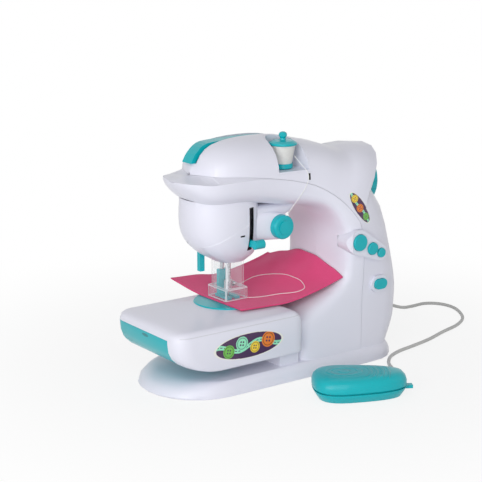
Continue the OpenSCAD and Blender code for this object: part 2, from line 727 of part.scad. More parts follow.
// Presser bar, foot and lifter
collar_z = lift_z + 5;
foot_top = foot_z + 26;
module presser_bar() {
  color(steel) translate([needle_x, presser_y, 0]) {
    translate([0, 0, foot_top]) cylinder(h = throat_top - 10 - foot_top, r = presser_r);
    translate([0, 0, collar_z]) cylinder(h = 4, r = 5.2);
  }
}
module presser_foot() {
  color(teal) difference() {
    union() {
      box(needle_x - 5, needle_x + 5, presser_y - 2.5, presser_y + 1.7, foot_z, foot_top);
      box(needle_x - 7, needle_x + 7, needle_y - 9, presser_y + 1.7, foot_z, foot_z + 2.5);
    }
    bar_rod(foot_z - 1, foot_z + 5, 2.2);
    box(needle_x - 2.2, needle_x + 2.2, needle_y - 20, needle_y, foot_z - 1, foot_z + 5);
  }
}
module lifter_lever() {
  color(teal) {
    rod_x(lever_x[0], needle_x - 2.6, lift_r, lift_y, lift_z);
    box(lever_x[0], lever_x[1], lift_y - 2.5, lift_y + 2.5, lift_z - 31, lift_z);
    rod_x(lever_x[0], lever_x[1], 4, lift_y, lift_z);
    box(needle_x - 5, needle_x - 2.6, lift_y - 1.5, lift_y + 1.5, lift_z, lift_z + 4.4);
  }
}

// Drive in the arm and the column
chassis_x = [84, 87];
belt_x = [90, 98];
gear_x = [101, 106];
hub_r = 6;
module arm_bearing() {
  color(white) difference() {
    box(26, 34, shaft_y - 8, shaft_y + 8, throat_top + 3.9, shaft_z + 8);
    rod_x(20, 40, shaft_r + run_gap, shaft_y, shaft_z);
  }
}
module chassis_plate() {
  color(dark) difference() {
    box(chassis_x[0], chassis_x[1], shaft_y - 16, shaft_y + 16, base_h, shaft_z + 12);
    for (z = [shaft_z, low_z]) rod_x(chassis_x[0] - 1, chassis_x[1] + 1, shaft_r + 2.5, shaft_y, z);
    box(chassis_x[0] - 1, chassis_x[1] + 1, shaft_y - 9, shaft_y + 9, low_z + 16, shaft_z - 16);
  }
}
module shaft_bushes() {
  x0 = chassis_x[0] - 1;
  x1 = chassis_x[1] + 1.5;
  rows = [[x0, x1, shaft_z], [x0, x1, low_z], [bed_right - wall - 1, bed_right, low_z]];
  color(brass) for (p = rows) difference() {
    rod_x(p[0], p[1], shaft_r + 2.5, shaft_y, p[2]);
    rod_x(p[0] - 1, p[1] + 1, shaft_r + run_gap, shaft_y, p[2]);
  }
}
crank_x = yoke_face + 4;
module main_shaft() {
  color(steel) rod_x(crank_x + 4, wheel_x + wheel_t - 1, shaft_r, shaft_y, shaft_z);
}
module crank_disc() {
  color(dark) {
    rod_x(crank_x, crank_x + 4, crank_r + pin_r + 0.5, shaft_y, shaft_z);
    rod_x(yoke_face + 0.4, crank_x, pin_r, shaft_y, shaft_z - crank_r);
    difference() {
      rod_x(crank_x + 4, crank_x + 8, hub_r, shaft_y, shaft_z);
      rod_x(crank_x + 4, crank_x + 9, shaft_r, shaft_y, shaft_z);
    }
  }
}
module pulley(z) {
  color(dark) translate([belt_x[0], shaft_y, z]) rotate([0, 90, 0]) rotate_extrude()
    polygon([[shaft_r, 0], [pulley_r + 2, 0], [pulley_r + 2, 1], [pulley_r, 1.4], [pulley_r, 6.6],
      [pulley_r + 2, 7], [pulley_r + 2, 8], [shaft_r, 8]]);
}
module upper_pulley() {
  pulley(shaft_z);
}
module lower_pulley() {
  pulley(low_z);
}
belt_t = 1.4;
belt_gap = 0.15;
module belt_loop(r) {
  translate([shaft_y, low_z]) circle(r);
  translate([shaft_y, shaft_z]) circle(r);
  translate([shaft_y - r, low_z]) square([2 * r, shaft_z - low_z]);
}
module drive_belt() {
  color(dark) translate([belt_x[0] + 1.7, 0, 0]) rotate([90, 0, 90]) linear_extrude(4.6) difference() {
    belt_loop(pulley_r + belt_gap + belt_t);
    belt_loop(pulley_r + belt_gap);
  }
}
module hand_wheel() {
  grips = 20;
  color(teal) difference() {
    translate([wheel_x, shaft_y, shaft_z]) rotate([0, 90, 0]) round_disc(wheel_r, wheel_t, 2.5);
    rod_x(wheel_x - 1, wheel_x + wheel_t - 1, shaft_r, shaft_y, shaft_z);
    for (i = [0:grips - 1]) let (f = 360 * i / grips)
      rod_x(wheel_x - 1, wheel_x + wheel_t + 1, 1.2,
        shaft_y + (wheel_r + 0.4) * cos(f), shaft_z + (wheel_r + 0.4) * sin(f));
  }
}
module lower_shaft() {
  color(steel) rod_x(needle_x - 2, gear_x[1] + 1, shaft_r, shaft_y, low_z);
}
module looper() {
  color(steel) difference() {
    union() {
      rod_x(needle_x - 2, needle_x + 8, hub_r, shaft_y, low_z);
      rod_x(needle_x - 2, needle_x + 1, 12, shaft_y, low_z);
    }
    rod_x(needle_x - 3, needle_x + 9, shaft_r, shaft_y, low_z);
    box(needle_x - 3, needle_x + 1.5, shaft_y + 4, shaft_y + 20, low_z + 2, low_z + 20);
  }
}

// Involute gears along X
pressure = 20;
gear_play = 0.12;
function inv(a) = tan(a) * 180 / PI - a;
// Half angle of a tooth at radius r
function tooth_half(n, r) = let (rb = n * gear_m * cos(pressure) / 2)
  90 / n - gear_play * 180 / PI / (n * gear_m / 2) + inv(pressure) - (r > rb ? inv(acos(rb / r)) : 0);
function gear_outline(n) = let (rs = [for (k = [-1.15, -0.4, 0.3, 0.9]) n * gear_m / 2 + k * gear_m])
  [for (k = [0:n - 1]) for (s = [-1, 1]) for (i = s < 0 ? [0:3] : [3:-1:0])
    let (f = 360 * k / n + s * tooth_half(n, rs[i])) [rs[i] * cos(f), rs[i] * sin(f)]];
pinion_teeth = 14;
gear_teeth = 40;
motor_z = low_z + gear_m * (gear_teeth + pinion_teeth) / 2;
motor_r = 12;
motor_shaft_r = 1.2;
module toothed(n, x0, x1, z, bore) {
  translate([x0, shaft_y, z]) rotate([90, 0, 90]) linear_extrude(x1 - x0) difference() {
    polygon(gear_outline(n));
    circle(bore);
  }
}
module drive_gear() {
  color(white) toothed(gear_teeth, gear_x[0], gear_x[1], low_z, shaft_r);
}
module motor_pinion() {
  color(brass) {
    toothed(pinion_teeth, gear_x[0], gear_x[1] + 0.5, motor_z, motor_shaft_r);
    rod_x(gear_x[0], gear_x[1] + 7, motor_shaft_r, shaft_y, motor_z);
  }
}
motor_x = [gear_x[1] + 4, gear_x[1] + 34];
module motor() {
  color(steel) difference() {
    union() {
      rod_x(motor_x[0], motor_x[1], motor_r, shaft_y, motor_z);
      rod_x(motor_x[0] - 2, motor_x[0], 4, shaft_y, motor_z);
    }
    rod_x(motor_x[0] - 3, motor_x[0] + 6, motor_shaft_r + run_gap, shaft_y, motor_z);
  }
}
module motor_cradle() {
  color(white) difference() {
    box(motor_x[0] + 4, motor_x[1] - 12, shaft_y - 13, shaft_y + 13, base_h, motor_z);
    rod_x(motor_x[0], motor_x[1] + 5, motor_r, shaft_y, motor_z);
    box(motor_x[0] + 7, motor_x[1] - 15, shaft_y - 20, shaft_y + 20, base_h + 3, motor_z - motor_r - 3);
  }
}

// Buttons, switch and board
module button_pod() {
  color(white) difference() {
    union() {
      front_plate(pod_front, pod_back) pod_outline(0);
      intersection() {
        front_plate(pod_back, pod_back + 11) difference() {
          pod_outline(0);
          pod_outline(-2);
        }
        box(60, button_x[0] - 6.5, -60, 0, 80, 150);
      }
    }
    translate([0, 0, 80]) linear_extrude(70)
      polygon([[60, -60], [pod_tip, -60], [pod_tip, pod_front], [pod_tip - 5, pod_back], [60, pod_back]]);
    for (k = [0:2]) rod_y(pod_front - 1, pod_back + 1, button_r[k] + slide_gap, button_x[k], button_z[k]);
  }
}
button_out = 2.6;
button_rim = 0.6;
module push_button(k) {
  r = button_r[k];
  color(teal) translate([button_x[k], pod_back + slide_gap, button_z[k]]) rotate([90, 0, 0]) {
    rotate_extrude() {
      square([r - 1, pod_back - pod_front + button_out]);
      square([r, pod_back - pod_front + button_out - 1]);
      translate([r - 1, pod_back - pod_front + button_out - 1]) circle(1);
      translate([0, -1.2]) square([r + button_rim, 1.2]);
      translate([0, -3]) square([2, 3]);
    }
  }
}
module button_large() {
  push_button(0);
}
module button_medium() {
  push_button(1);
}
module button_small() {
  push_button(2);
}
module switch_bezel() {
  color(white) difference() {
    front_plate(bezel_front, pod_back) switch_outline(bezel_edge);
    front_plate(bezel_front - 1, pod_back + 1) switch_outline(slide_gap);
  }
}
module power_switch() {
  color(teal) {
    front_plate(bezel_front - 2, pod_back + slide_gap) switch_outline(0);
    front_plate(pod_back + slide_gap, pod_back + slide_gap + 1.2) switch_outline(1.2);
  }
}
board_y = pod_back + slide_gap + 3 + button_travel + 0.4;
module circuit_board() {
  color([0.15, 0.42, 0.25]) {
    box(81, 122, board_y, board_y + 1.6, 66, 126);
    box(94, 104, board_y + 1.6, board_y + 4, 84, 94);
  }
}

// Spool on its pin
pin_d = 4;
spool_base_h = 5;
thread_z = spool_z + slide_gap + spool_base_h;
cap_z = thread_z + thread_h;
module at_spool(z) {
  translate([spool_x, spool_y, z]) children();
}
module spool_pin() {
  color(white) at_spool(spool_z) {
    cylinder(h = cap_z + 3 - spool_z, r = pin_d / 2);
  }
}
module spool() {
  color(teal) at_spool(spool_z + slide_gap) rotate_extrude()
    polygon([[pin_d / 2 + run_gap, 0], [8.6, 0], [9.6, 1], [9.4, spool_base_h], [4, spool_base_h],
      [4, spool_base_h + thread_h], [pin_d / 2 + run_gap, spool_base_h + thread_h]]);
}
module spool_thread() {
  color([0.96, 0.96, 0.93]) at_spool(thread_z) rotate_extrude()
    polygon([[4, 0], [8.6, 0], [11.8, thread_h], [4, thread_h]]);
}
module spool_cap() {
  color(teal) at_spool(cap_z) rotate_extrude()
    polygon([[pin_d / 2 + run_gap, 0], [cap_r - 0.8, 0], [cap_r, 1], [cap_r - 0.6, 2.4], [cap_r - 4, 4],
      [3, 4.6], [2.6, 6.5], [3.7, 8], [3.9, 10], [3, 11.6], [1.6, 12.3], [0, 12.5], [0, 3.2],
      [pin_d / 2 + run_gap, 3.2]]);
}

// Cord from the column's end to the pedal
module cord_gland() {
  color(grey) translate([gland_x, gland_y, gland_z]) rotate([0, 90, 0]) rotate_extrude()
    polygon([[cord_d / 2, 0], [gland_r, 0], [gland_r, 12], [gland_r - 1, 13], [cord_d / 2 + 1, 24],
      [cord_d / 2, 24]]);
}
cord_pts = smooth([[135, 26, 28], [160, 26, 28], [178, 27, 26.5], [200, 31, 20], [218, 39, 13], [238, 50, 6],
  [258, 58, 2.2], [276, 59, 1.8], [288, 50, 1.8], [292, 34, 1.8], [286, 15, 1.8], [271, -6, 1.8],
  [249, -20, 1.8], [220, -29, 1.8], [191, -39, 1.8], [165, -45, 1.8], [140, -50, 1.8], [123, -57, 1.8],
  [111, -67, 1.8], [104, -76, 1.8], [99, -86, 1.8], [92, -98, 1.8], [83, -107, 2.6], [73, -114, 4.8],
  [62, -120, 5.4]], 2);
cord_sides = 8;
// Ring round point i of a path, square to the path
function tube_ring(pts, i, r, sides) = let (
    t = pts[min(i + 1, len(pts) - 1)] - pts[max(i - 1, 0)], d = t / norm(t),
    s = cross([0, 0, 1], d) / norm(cross([0, 0, 1], d)), u = cross(d, s))
  [for (k = [0:sides - 1]) let (f = 360 * (k + 0.5) / sides) pts[i] + r * (s * cos(f) + u * sin(f))];
module pedal_cord() {
  color(grey) skin([for (i = [0:len(cord_pts) - 1]) tube_ring(cord_pts, i, cord_d / 2, cord_sides)],
    flip = true);
}

// Foot pedal, egg shaped, in its own frame with its length along x, then set on the table
pedal_at = [29, -118.5];
pedal_turn = -30;
pedal_n = 2.8;
pedal_egg = 0.25;
pedal_arcs = 32;
rim_z = 8.4;
press_gap = 1.8;
skirt_z = rim_z + press_gap;
module at_pedal() {
  translate([pedal_at[0], pedal_at[1], 0]) rotate([0, 0, pedal_turn]) children();
}
function pedal_ring(inset, z) = [for (i = [0:pedal_arcs - 1]) let (
    f = 360 * i / pedal_arcs, c = power(cos(f), 2 / pedal_n), d = power(sin(f), 2 / pedal_n))
  [(pedal_l / 2 - inset) * c, (pedal_w / 2 - inset) * d * (1 - pedal_egg * c), z]];
pivot_x = pedal_l / 2 - 10;
pivot_z = 11;
pivot_r = 1.5;
pivot_w = 5.5;
pivot_half = 3;
module cord_bore() {
  skin([for (i = [len(cord_pts) - 6:len(cord_pts) - 1]) tube_ring(cord_pts, i, cord_d / 2 + 0.1, cord_sides)],
    flip = true);
}
module pedal_base() {
  color(teal) difference() {
    at_pedal() {
      difference() {
        skin([pedal_ring(5, 0), pedal_ring(2.4, 4), pedal_ring(0.3, rim_z - 0.6), pedal_ring(0.3, rim_z),
          pedal_ring(2.4, rim_z), pedal_ring(2.4, rim_z + 4.5)], flip = true);
        skin([pedal_ring(7, 3), pedal_ring(4.4, 5), pedal_ring(4.4, 30)], flip = true);
      }
      for (y = [-pivot_w - 3.5, pivot_w + 0.5])
        box(pivot_x - pivot_half, pivot_x + pivot_half, y, y + 3, 2, pivot_z + pivot_half);
      rod_y(-pivot_w - 3, pivot_w + 3, pivot_r, pivot_x, pivot_z);
      box(pedal_l / 2 - 4, pedal_l / 2 + 6, -3, 3, rim_z - 3, rim_z);
      translate([-10, 0, 2]) cylinder(h = 8, r = 5);
    }
    cord_bore();
  }
}
module pedal_top() {
  color(teal) at_pedal() {
    skin(concat(
      [pedal_ring(9, pedal_h - 2.6), pedal_ring(4, pedal_h - 4.4), pedal_ring(2, pedal_h - 8),
        pedal_ring(2, skirt_z)],
      [pedal_ring(0, skirt_z), pedal_ring(0, pedal_h - 8), pedal_ring(1, pedal_h - 4.6),
        pedal_ring(3.6, pedal_h - 1.8), pedal_ring(8, pedal_h - 0.4), pedal_ring(14, pedal_h)]), flip = true);
    difference() {
      box(pivot_x - pivot_half, pivot_x + pivot_half, -pivot_w, pivot_w, pivot_z - pivot_half, pedal_h - 3);
      rod_y(-20, 20, pivot_r + run_gap, pivot_x, pivot_z);
    }
  }
}

// Felt cloth under the presser foot: flat at the needle, climbing the column's foot to the right
cloth_n = 10;
cloth_a = [-36, -27];
cloth_b = [-38, 89];
cloth_c = [74, -40];
// Height of the cloth over the bed at a place in the sheet
function cloth_lift(x, y) =
  14 * pow(max(0, (x - 6) / 62), 1.6) * (1 + 0.9 * sin(min(180, max(0, (y + 40) * 1.6))))
  + 5.5 * pow(max(0, (y - 34) / 55), 1.5) * (x < 0 ? 1 : 0.6);
function cloth_pt(i, j, t) = let (
    p = cloth_a + (cloth_b - cloth_a) * j / cloth_n + (cloth_c - cloth_a) * i / cloth_n)
  [p[0], p[1], cloth_z + t + cloth_lift(p[0], p[1])];
module sewing_cloth() {
  edge = concat(
    [for (i = [0:cloth_n - 1]) [i, 0]], [for (j = [0:cloth_n - 1]) [cloth_n, j]],
    [for (i = [cloth_n:-1:1]) [i, cloth_n]], [for (j = [cloth_n:-1:1]) [0, j]]);
  m = cloth_n + 1;
  low = [for (i = [0:cloth_n]) for (j = [0:cloth_n]) cloth_pt(i, j, 0)];
  high = [for (i = [0:cloth_n]) for (j = [0:cloth_n]) cloth_pt(i, j, cloth_t)];
  tops = [for (i = [0:cloth_n - 1]) for (j = [0:cloth_n - 1]) let (a = m * m + i * m + j)
    each [[a, a + 1, a + m + 1], [a, a + m + 1, a + m]]];
  bottoms = [for (f = tops) [f[0] - m * m, f[2] - m * m, f[1] - m * m]];
  rims = [for (k = [0:len(edge) - 1]) let (
      p = edge[k], q = edge[(k + 1) % len(edge)], a = p[0] * m + p[1], b = q[0] * m + q[1])
    each [[a, a + m * m, b + m * m], [a, b + m * m, b]]];
  color(pink) difference() {
    polyhedron(concat(low, high), concat(tops, bottoms, rims), convexity = 4);
    bar_rod(cloth_z - 5, cloth_z + 5, 1.2);
  }
}

base_pan();
bottom_plate();
bottom_screws();
battery_box();
batteries();
battery_door();
door_screw();
front_casing();
rear_casing();
top_hood();
hood_well();
carry_handle();
bed_shell();
needle_plate();
accessory_drawer();
head_shell();
tension_pod();
tension_dial();
needle_guard();
needle_bushes();
needle_bar();
needle_yoke();
needle_clamp();
clamp_screw();
needle();
take_up_lever();
presser_bar();
presser_foot();
lifter_lever();
arm_bearing();
chassis_plate();
shaft_bushes();
main_shaft();
crank_disc();
upper_pulley();
hand_wheel();
drive_belt();
lower_shaft();
lower_pulley();
drive_gear();
looper();
motor();
motor_pinion();
motor_cradle();
button_pod();
button_large();
button_medium();
button_small();
switch_bezel();
power_switch();
circuit_board();
spool_pin();
spool();
spool_thread();
spool_cap();
cord_gland();
pedal_cord();
pedal_base();
pedal_top();
sewing_cloth();
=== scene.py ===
# %% [markdown]
# Toy sewing machine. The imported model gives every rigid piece: casings, bed, needle drive, wheel, buttons, pedal.
# This lesson dresses that frame: first the camera and the flexible lines, then the finishes of the plastics
# and metals, then the felt, the stickers and the small marks, and last the floor and the light.

# %% Frame
import json
import bpy
import numpy as np
from mathutils import Matrix


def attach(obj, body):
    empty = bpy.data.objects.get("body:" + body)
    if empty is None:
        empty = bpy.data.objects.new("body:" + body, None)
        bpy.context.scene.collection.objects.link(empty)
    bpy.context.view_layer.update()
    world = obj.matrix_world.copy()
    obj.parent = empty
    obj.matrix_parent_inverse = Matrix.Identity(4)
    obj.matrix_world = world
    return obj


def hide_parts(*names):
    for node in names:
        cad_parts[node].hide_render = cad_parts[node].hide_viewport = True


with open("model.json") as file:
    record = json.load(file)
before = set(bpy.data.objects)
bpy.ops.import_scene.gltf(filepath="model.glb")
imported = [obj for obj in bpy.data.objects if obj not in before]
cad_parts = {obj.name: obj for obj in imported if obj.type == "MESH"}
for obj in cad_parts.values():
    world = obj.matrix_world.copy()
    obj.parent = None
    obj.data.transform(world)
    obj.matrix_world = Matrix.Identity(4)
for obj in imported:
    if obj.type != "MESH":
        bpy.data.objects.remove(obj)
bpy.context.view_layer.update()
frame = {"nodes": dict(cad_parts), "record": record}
nodes = frame["nodes"]
scene = bpy.context.scene
MM = 0.001

# %% [markdown]
# The camera stands in front and to the left, a little above the arm, with a long lens: verticals stay nearly
# parallel. Its axes are written out, so that the view follows from two angles, a place and a focal length.

# %% Camera
AZIMUTH, PITCH = np.radians(-36.0), np.radians(13.7)
CAMERA_PLACE = (-0.76294, -1.02646, 0.43590)
FOCAL_MM, SENSOR_MM = 104.56, 36.0


def placed(right, up, back, place):
    """Matrix whose columns are three axes and a place: +X is right, +Y is up, and -Z is the way that it looks."""
    pose = Matrix.Identity(4)
    for k in range(3):
        pose[k][0], pose[k][1], pose[k][2] = right[k], up[k], back[k]
    pose.translation = place
    return pose


right = np.array([np.cos(AZIMUTH), np.sin(AZIMUTH), 0.0])
back = np.array([np.sin(AZIMUTH) * np.cos(PITCH), -np.cos(AZIMUTH) * np.cos(PITCH), np.sin(PITCH)])
lens = bpy.data.cameras.new("studio_camera")
lens.sensor_width = SENSOR_MM
lens.lens = FOCAL_MM
lens.clip_end = 20.0
camera = bpy.data.objects.new("studio_camera", lens)
scene.collection.objects.link(camera)
camera.matrix_world = placed(right, np.cross(back, right), back, CAMERA_PLACE)
scene.camera = camera
scene.view_settings.view_transform = "Standard"
print("camera at", CAMERA_PLACE)

# %% [markdown]
# Flexible lines are a round profile carried along a smooth path. The path is a Catmull-Rom curve: between two
# points it is a cubic that leaves along the line joining the neighbours, so it passes through every point
# without kinks. The profile is set square to the path with a fixed side direction.

# %% Paths and tubes
def curve_through(points, steps):
    """Catmull-Rom curve: for each stretch from b to c, with neighbours a and d, it is half of
    2b + (c - a) t + (2a - 5b + 4c - d) t^2 + (3b - a - 3c + d) t^3."""
    p = np.asarray(points, float)
    a, b = np.vstack([p[:1], p[:-2]]), p[:-1]
    c, d = p[1:], np.vstack([p[2:], p[-1:]])
    t = (np.arange(steps) / steps)[None, :, None]
    a, b, c, d = (q[:, None, :] for q in (a, b, c, d))
    rows = 0.5 * (2 * b + (c - a) * t + (2 * a - 5 * b + 4 * c - d) * t**2 + (3 * b - a - 3 * c + d) * t**3)
    return np.vstack([rows.reshape(-1, 3), p[-1:]])


def path_length(path):
    """Sum of the distances between neighbouring points."""
    return float(np.linalg.norm(np.diff(path, axis=0), axis=1).sum())


def grid_mesh(name, grid, closed_v=False, caps=False, uv=None):
    """Mesh of a grid of points (rows x columns x 3): each cell is a quad; the columns may close to a ring and
    the first and last ring may be capped by one face each."""
    rows, cols = grid.shape[:2]
    index = np.arange(rows * cols).reshape(rows, cols)
    if closed_v:
        index = np.hstack([index, index[:, :1]])
    quads = np.stack([index[:-1, :-1], index[:-1, 1:], index[1:, 1:], index[1:, :-1]], -1).reshape(-1, 4)
    faces = quads.tolist()
    if caps:
        faces += [index[0, :cols][::-1].tolist(), index[-1, :cols].tolist()]
    mesh = bpy.data.meshes.new(name)
    mesh.from_pydata(grid.reshape(-1, 3).tolist(), [], faces)
    if uv is not None:
        loops = np.empty(len(mesh.loops), np.int32)
        mesh.loops.foreach_get("vertex_index", loops)
        mesh.uv_layers.new(name="UVMap").data.foreach_set("uv", uv.reshape(-1, 2)[loops].ravel())
    mesh.shade_smooth()
    mesh.update()
    piece = bpy.data.objects.new(name, mesh)
    scene.collection.objects.link(piece)
    return piece


def tube(name, path, radius, sides=12, side_of=(0, 0, 1)):
    """Round profile carried along a path: point = path + radius (s cos f + n sin f), where s is side_of x tangent
    and n is tangent x s. u of the UV map is the distance along the path in metres, v the turn."""
    ahead = np.gradient(path, axis=0)
    ahead /= np.linalg.norm(ahead, axis=1)[:, None]
    s = np.cross(np.asarray(side_of, float), ahead)
    s /= np.linalg.norm(s, axis=1)[:, None]
    n = np.cross(ahead, s)
    f = 2 * np.pi * np.arange(sides) / sides
    turn = s[:, None, :] * np.cos(f)[None, :, None] + n[:, None, :] * np.sin(f)[None, :, None]
    grid = path[:, None, :] + radius * turn
    far = np.concatenate([[0], np.cumsum(np.linalg.norm(np.diff(path, axis=0), axis=1))])
    uv = np.stack(np.broadcast_arrays(far[:, None], (f / (2 * np.pi))[None, :]), -1)
    return grid_mesh(name, grid, closed_v=True, caps=True, uv=uv)


print("paths and tubes ready")

# %% [markdown]
# The pedal's lead is a soft grey cable of 3.4 mm. The picture shows it from end to end, so its drawn route is its
# length: straight out of the gland, down to the table, round in one loose bow and into the pedal's side.

# %% Pedal cord
LEAD_D = 3.4 * MM
cord_route = [
    [135, 26, 28], [160, 26, 28], [178, 27, 26.5], [200, 31, 20], [218, 39, 13], [238, 50, 6], [258, 58, 2.2],
    [276, 59, 1.8], [288, 50, 1.8], [292, 34, 1.8], [286, 15, 1.8], [271, -6, 1.8], [249, -20, 1.8],
    [220, -29, 1.8], [191, -39, 1.8], [165, -45, 1.8], [140, -50, 1.8], [123, -57, 1.8], [111, -67, 1.8],
    [104, -76, 1.8], [99, -86, 1.8], [92, -98, 1.8], [83, -107, 2.6], [73, -114, 4.8], [62, -120, 5.4]]
cord_path = curve_through(np.array(cord_route) * MM, 8)
pedal_lead = tube("pedal_lead", cord_path, LEAD_D / 2, sides=14)
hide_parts("pedal_cord")
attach(pedal_lead, "machine")

# %% [markdown]
# Finishes are node trees. Writing their maths as Python keeps them readable: `Value` wraps one socket, and the
# operators on it add Math nodes; `Finish` owns the material and adds any other node by its type.

# %% Shader maths
class Value:
    """One socket of a finish; sums, products and powers of values become Math nodes."""

    def __init__(self, finish, socket):
        self.finish, self.socket = finish, socket

    def maths(self, operation, *values):
        return self.finish.node("ShaderNodeMath", {"operation": operation}, *values)

    def __add__(self, other):
        return self.maths("ADD", self, other)

    def __sub__(self, other):
        return self.maths("SUBTRACT", self, other)

    def __rsub__(self, other):
        return self.maths("SUBTRACT", other, self)

    def __mul__(self, other):
        return self.maths("MULTIPLY", self, other)

    def __truediv__(self, other):
        return self.maths("DIVIDE", self, other)

    def __rtruediv__(self, other):
        return self.maths("DIVIDE", other, self)

    def __pow__(self, other):
        return self.maths("POWER", self, other)

    __radd__ = __add__
    __rmul__ = __mul__

    def size(self):
        return self.maths("ABSOLUTE", self)

    def sine(self):
        return self.maths("SINE", self)

    def root(self):
        return self.maths("SQRT", self)

    def ease(self, low, high):
        """0 below low, 1 above high, a smooth step between; low may be the larger of the two."""
        return self.finish.node("ShaderNodeMapRange", {"interpolation_type": "SMOOTHSTEP"}, self, low, high, 0.0, 1.0)


class Finish:
    """A material with one Principled shader. node() adds any node: type, settings, then sockets by order or name."""

    def __init__(self, name, **sockets):
        self.material = bpy.data.materials.new(name)
        self.material.use_nodes = True
        self.tree = self.material.node_tree
        self.shader = self.tree.nodes["Principled BSDF"]
        self.set(**sockets)

    def node(self, kind, settings, *values, out=0, **named):
        made = self.tree.nodes.new(kind)
        for key, setting in settings.items():
            setattr(made, key, setting)
        for key, value in [*enumerate(values), *((k.replace("_", " "), v) for k, v in named.items())]:
            if isinstance(value, Value):
                self.tree.links.new(value.socket, made.inputs[key])
            elif value is not None:
                made.inputs[key].default_value = value
        return Value(self, made.outputs[out])

    def set(self, **sockets):
        """Links or writes sockets of the shader, with _ for a space in a name."""
        for key, value in sockets.items():
            socket = self.shader.inputs[key.replace("_", " ")]
            if isinstance(value, Value):
                self.tree.links.new(value.socket, socket)
            else:
                socket.default_value = (*value, 1.0) if isinstance(value, tuple) and len(value) == 3 else value
        return self

    def place(self, centre=(0, 0, 0), turn=0.0):
        """Object coordinates as three values, moved to a centre and turned about Z."""
        where = self.node("ShaderNodeTexCoord", {}, out=3)
        if centre != (0, 0, 0) or turn:
            where = self.node("ShaderNodeMapping", {"vector_type": "TEXTURE"}, where, centre, (0.0, 0.0, turn))
        made = self.node("ShaderNodeSeparateXYZ", {}, where)
        return [Value(self, made.socket.node.outputs[k]) for k in range(3)]

    def noise(self, scale, detail=2.0, rough=0.5):
        """Noise of that many cells per metre in object coordinates, from 0 to 1."""
        where = self.node("ShaderNodeTexCoord", {}, out=3)
        return self.node("ShaderNodeTexNoise", {}, where, None, scale, detail, rough)

    def mix(self, factor, a, b):
        """Colour a where factor is 0, colour b where it is 1."""
        made = self.node("ShaderNodeMix", {"data_type": "RGBA"}, factor)
        tree_node = made.socket.node
        for socket, colour in ((tree_node.inputs[6], a), (tree_node.inputs[7], b)):
            if isinstance(colour, Value):
                self.tree.links.new(colour.socket, socket)
            else:
                socket.default_value = (*colour, 1.0)
        return Value(self, tree_node.outputs[2])

    def bump(self, height, depth, strength=1.0):
        """Height from 0 to 1, as a relief of that depth in metres."""
        return self.set(Normal=self.node("ShaderNodeBump", {}, strength, depth, Height=height))


print("shader maths ready")

# %% [markdown]
# White shells and teal pieces are glossy injection-moulded plastic. Up close such a surface is never perfectly
# even: the tone wanders by a per cent, the gloss changes a little with the mould's polish, and a very shallow
# orange peel breaks the reflections. Three noises of different scale give that.

# %% Moulded plastics
WHITE = (0.790, 0.790, 0.885)
WHITE_LOW = (0.762, 0.764, 0.860)
TEAL = (0.002, 0.455, 0.510)
TEAL_LOW = (0.002, 0.425, 0.480)
SHADE = (0.012, 0.012, 0.014)
PEEL = 0.02 * MM


def moulded(name, colour, low, gloss=0.3, relief=None, depth=0.0, shade_mask=None, shade_colour=None):
    """Glossy plastic: tone = mix of two close colours by a wide noise, roughness = gloss plus a fine noise, relief
    = orange peel plus an optional height; an optional mask lays painted shade, a darker colour, over the tone."""
    fin = Finish(name, IOR=1.46, Specular_IOR_Level=0.35, Coat_Weight=0.12, Coat_Roughness=0.14)
    tone = fin.mix(fin.noise(14.0), low, colour)
    # painted shade: the mask darkens the tone where shade falls into grooves, slits and recesses
    if shade_mask:
        tone = fin.mix(shade_mask(fin), tone, shade_colour)
    fin.set(Base_Color=tone, Roughness=fin.noise(90.0, 3.0) * 0.08 + (gloss - 0.04))
    depth = max(depth, PEEL)
    peel = fin.noise(700.0, 1.0) * (PEEL / depth)
    fin.bump(peel + relief(fin) if relief else peel, depth, 0.6 if relief else 0.25)
    return fin


white = moulded("white_shell", WHITE, WHITE_LOW)
teal = moulded("teal_part", TEAL, TEAL_LOW)
print("plastics", white.material.name, teal.material.name)

# %% [markdown]
# Inside and around the needle there are metal pieces and plain dark mouldings. Turned steel shows fine rings
# along its axis, so its roughness changes along the length; brass bushes are warmer and a little duller.

# %% Metals, rubber and board
def metal(name, colour, low, rough):
    """Bare metal: two close tones by a fine noise, roughness with fine streaks."""
    fin = Finish(name, Metallic=1.0)
    fin.set(Base_Color=fin.mix(fin.noise(60.0, 3.0), low, colour),
            Roughness=fin.noise(420.0, 4.0, 0.7) * 0.22 + (rough - 0.11))
    return fin.bump(fin.noise(900.0, 2.0), PEEL, 0.3)


def matte(name, colour, low, rough, grain=500.0):
    """Dull surface: two close tones, an even roughness with a grainy relief."""
    fin = Finish(name)
    fin.set(Base_Color=fin.mix(fin.noise(40.0, 3.0), low, colour),
            Roughness=fin.noise(grain, 2.0) * 0.1 + (rough - 0.05))
    return fin.bump(fin.noise(grain, 3.0), 0.05 * MM, 0.4)


finish_of_slot = {
    "white_plastic": white,
    "teal_plastic": teal,
    "steel": metal("plain_steel", (0.62, 0.63, 0.65), (0.50, 0.51, 0.53), 0.28),
    "brass": metal("plain_brass", (0.72, 0.55, 0.26), (0.60, 0.44, 0.19), 0.34),
    "dark_plastic": matte("inner_dark", (0.06, 0.06, 0.07), (0.045, 0.045, 0.05), 0.6),
    "belt_rubber": matte("belt_rubber", (0.03, 0.03, 0.03), (0.02, 0.02, 0.02), 0.8),
    "cord": matte("lead_grey", (0.56, 0.56, 0.55), (0.50, 0.50, 0.495), 0.5),
    "board": matte("circuit_green", (0.02, 0.15, 0.06), (0.015, 0.12, 0.045), 0.45),
    "felt": matte("felt_base", (0.60, 0.05, 0.16), (0.52, 0.04, 0.13), 0.95),
    "thread": matte("thread_white", (0.93, 0.93, 0.92), (0.88, 0.88, 0.87), 0.8),
}
clear = Finish("clear_styrene", Base_Color=(0.90, 0.93, 0.96), Alpha=0.10, IOR=1.45, Roughness=0.06)
